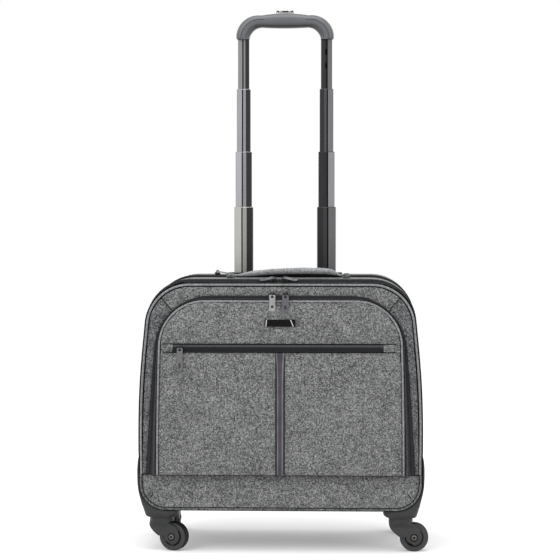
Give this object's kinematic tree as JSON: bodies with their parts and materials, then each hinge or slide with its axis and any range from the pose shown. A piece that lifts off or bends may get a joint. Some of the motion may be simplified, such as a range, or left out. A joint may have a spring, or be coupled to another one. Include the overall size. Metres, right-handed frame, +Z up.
{
  "type": "rolling laptop case",
  "caption": "Fabric laptop case on swivel casters, with a telescopic trolley handle, carry handle, zipped compartments that open forward and a front pocket.",
  "frame": {"origin": "on the floor, below the middle of the case", "axes": "+Z up, -Y out of the front pocket, +X to the right seen from the front; trolley drawn out"},
  "size_m": [0.4585, 0.2546, 0.8703],
  "materials": {
    "shell_fabric": "heathered grey melange polyester, matt",
    "lining": "plain dark polyester lining",
    "board": "dark fibre board",
    "zip_tape": "woven charcoal zip tape",
    "leatherette": "dark grey leatherette, satin",
    "badge": "black plate with bright edges",
    "zip_metal": "gunmetal plating, semi gloss",
    "tube_metal": "gunmetal anodised, satin",
    "grip_plastic": "grey satin plastic",
    "button_plastic": "silver painted plastic",
    "caster_plastic": "dark grey moulded plastic",
    "wheel_rubber": "dark polyurethane",
    "axle_steel": "plated steel"
  },
  "bodies": {
    "case": {"rear_shell": "shell_fabric", "lower_tray": "shell_fabric", "base_board": "board", "trolley_bezel": "caster_plastic", "trolley_foot": "grip_plastic", "trolley_cover": "lining", "fixed_tube_left": "tube_metal", "fixed_tube_right": "tube_metal", "corner_housing_front_left": "caster_plastic", "corner_housing_front_right": "caster_plastic", "corner_housing_rear_left": "caster_plastic", "corner_housing_rear_right": "caster_plastic"},
    "middle_section": {"middle_shell": "shell_fabric", "laptop_divider": "lining", "handle_anchor_left": "shell_fabric", "handle_anchor_right": "shell_fabric"},
    "handle": {"carry_handle": "shell_fabric"},
    "lid": {"front_lid": "shell_fabric"},
    "pocket": {"pocket_panel": "shell_fabric", "centre_trim": "leatherette", "badge_plate": "badge", "pocket_zip_band": "zip_tape"},
    "stage_1": {"stage_1_tube_left": "tube_metal", "stage_1_tube_right": "tube_metal"},
    "stage_2": {"stage_2_tube_left": "tube_metal", "stage_2_tube_right": "tube_metal"},
    "stage_3": {"stage_3_tube_left": "tube_metal", "stage_3_tube_right": "tube_metal"},
    "stage_4": {"stage_4_tube_left": "tube_metal", "stage_4_tube_right": "tube_metal", "grip": "grip_plastic"},
    "button": {"release_button": "button_plastic"},
    "swivel_front_left": {"caster_fork_front_left": "caster_plastic", "caster_axle_front_left": "axle_steel"},
    "wheel_front_left": {"caster_wheel_front_left": "wheel_rubber"},
    "swivel_front_right": {"caster_fork_front_right": "caster_plastic", "caster_axle_front_right": "axle_steel"},
    "wheel_front_right": {"caster_wheel_front_right": "wheel_rubber"},
    "swivel_rear_left": {"caster_fork_rear_left": "caster_plastic", "caster_axle_rear_left": "axle_steel"},
    "wheel_rear_left": {"caster_wheel_rear_left": "wheel_rubber"},
    "swivel_rear_right": {"caster_fork_rear_right": "caster_plastic", "caster_axle_rear_right": "axle_steel"},
    "wheel_rear_right": {"caster_wheel_rear_right": "wheel_rubber"},
    "slider_pocket": {"slider_pocket": "zip_metal"},
    "puller_pocket": {"puller_pocket": "zip_metal"},
    "slider_front_left": {"slider_front_left": "zip_metal"},
    "puller_front_left": {"puller_front_left": "zip_metal"},
    "slider_front_right": {"slider_front_right": "zip_metal"},
    "puller_front_right": {"puller_front_right": "zip_metal"},
    "slider_top_left": {"slider_top_left": "zip_metal"},
    "puller_top_left": {"puller_top_left": "zip_metal"},
    "slider_top_right": {"slider_top_right": "zip_metal"},
    "puller_top_right": {"puller_top_right": "zip_metal"},
    "slider_rear": {"slider_rear": "zip_metal"},
    "puller_rear": {"puller_rear": "zip_metal"}
  },
  "joints": [
    {"name": "middle_open", "type": "hinge", "parent": "case", "child": "middle_section", "pos_m": [0, -0.1082, 0.1235], "axis": [1, 0, 0], "range_deg": [0, 20]},
    {"name": "lid_open", "type": "hinge", "parent": "middle_section", "child": "lid", "pos_m": [0, -0.1082, 0.1235], "axis": [1, 0, 0], "range_deg": [0, 30]},
    {"name": "pocket_open", "type": "hinge", "parent": "lid", "child": "pocket", "pos_m": [0, -0.1083, 0.124], "axis": [1, 0, 0], "range_deg": [0, 40]},
    {"name": "handle_swing", "type": "hinge", "parent": "middle_section", "child": "handle", "pos_m": [0.01, -0.031, 0.435], "axis": [1, 0, 0], "range_deg": [-25, 25], "stiffness_Nm_per_rad": 0.15},
    {"name": "stage_1_slide", "type": "slide", "parent": "case", "child": "stage_1", "axis": [0, 0, 1], "range_m": [-0.1075, 0]},
    {"name": "stage_2_slide", "type": "slide", "parent": "stage_1", "child": "stage_2", "axis": [0, 0, 1], "range_m": [-0.0903, 0]},
    {"name": "stage_3_slide", "type": "slide", "parent": "stage_2", "child": "stage_3", "axis": [0, 0, 1], "range_m": [-0.1027, 0]},
    {"name": "stage_4_slide", "type": "slide", "parent": "stage_3", "child": "stage_4", "axis": [0, 0, 1], "range_m": [-0.0807, 0]},
    {"name": "button_press", "type": "slide", "parent": "stage_4", "child": "button", "axis": [0, 0, 1], "range_m": [-0.0035, 0], "stiffness_N_per_m": 300, "springref_m": 0.002},
    {"name": "swivel_front_left_turn", "type": "hinge", "parent": "case", "child": "swivel_front_left", "pos_m": [-0.189, -0.079, 0.0532], "axis": [0, 0, 1], "continuous": true},
    {"name": "wheel_front_left_spin", "type": "hinge", "parent": "swivel_front_left", "child": "wheel_front_left", "pos_m": [-0.16892, -0.08514, 0.0225], "axis": [0.2924, 0.9563, 0], "continuous": true},
    {"name": "swivel_front_right_turn", "type": "hinge", "parent": "case", "child": "swivel_front_right", "pos_m": [0.189, -0.079, 0.0532], "axis": [0, 0, 1], "continuous": true},
    {"name": "wheel_front_right_spin", "type": "hinge", "parent": "swivel_front_right", "child": "wheel_front_right", "pos_m": [0.21, -0.079, 0.0225], "axis": [0, 1, 0], "continuous": true},
    {"name": "swivel_rear_left_turn", "type": "hinge", "parent": "case", "child": "swivel_rear_left", "pos_m": [-0.189, 0.087, 0.0532], "axis": [0, 0, 1], "continuous": true},
    {"name": "wheel_rear_left_spin", "type": "hinge", "parent": "swivel_rear_left", "child": "wheel_rear_left", "pos_m": [-0.189, 0.108, 0.0225], "axis": [-1, 0, 0], "continuous": true},
    {"name": "swivel_rear_right_turn", "type": "hinge", "parent": "case", "child": "swivel_rear_right", "pos_m": [0.189, 0.087, 0.0532], "axis": [0, 0, 1], "continuous": true},
    {"name": "wheel_rear_right_spin", "type": "hinge", "parent": "swivel_rear_right", "child": "wheel_rear_right", "pos_m": [0.189, 0.108, 0.0225], "axis": [-1, 0, 0], "continuous": true},
    {"name": "zip_pocket_slide", "type": "slide", "parent": "pocket", "child": "slider_pocket", "axis": [1, 0, 0], "range_m": [0, 0.3]},
    {"name": "puller_pocket_swing", "type": "hinge", "parent": "slider_pocket", "child": "puller_pocket", "pos_m": [-0.1565, -0.12116, 0.3215], "axis": [-1, 0, 0], "range_deg": [0, 150]},
    {"name": "zip_front_left_slide", "type": "slide", "parent": "pocket", "child": "slider_front_left", "axis": [1, 0, 0], "range_m": [-0.105, 0]},
    {"name": "puller_front_left_swing", "type": "hinge", "parent": "slider_front_left", "child": "puller_front_left", "pos_m": [-0.0122, -0.1178, 0.4045], "axis": [-1, 0, 0], "range_deg": [0, 150]},
    {"name": "zip_front_right_slide", "type": "slide", "parent": "pocket", "child": "slider_front_right", "axis": [1, 0, 0], "range_m": [0, 0.105]},
    {"name": "puller_front_right_swing", "type": "hinge", "parent": "slider_front_right", "child": "puller_front_right", "pos_m": [0.0084, -0.1178, 0.4045], "axis": [-1, 0, 0], "range_deg": [0, 150]},
    {"name": "zip_top_left_slide", "type": "slide", "parent": "lid", "child": "slider_top_left", "axis": [1, 0, 0], "range_m": [-0.105, 0]},
    {"name": "puller_top_left_swing", "type": "hinge", "parent": "slider_top_left", "child": "puller_top_left", "pos_m": [-0.0105, -0.095, 0.432], "axis": [0, 1, 0], "range_deg": [0, 90]},
    {"name": "zip_top_right_slide", "type": "slide", "parent": "lid", "child": "slider_top_right", "axis": [1, 0, 0], "range_m": [0, 0.105]},
    {"name": "puller_top_right_swing", "type": "hinge", "parent": "slider_top_right", "child": "puller_top_right", "pos_m": [0.005, -0.095, 0.432], "axis": [0, -1, 0], "range_deg": [0, 90]},
    {"name": "zip_rear_slide", "type": "slide", "parent": "case", "child": "slider_rear", "axis": [1, 0, 0], "range_m": [-0.016, 0.224]},
    {"name": "puller_rear_swing", "type": "hinge", "parent": "slider_rear", "child": "puller_rear", "pos_m": [-0.108, 0.0335, 0.4383], "axis": [0, -1, 0], "range_deg": [0, 150]}
  ]
}
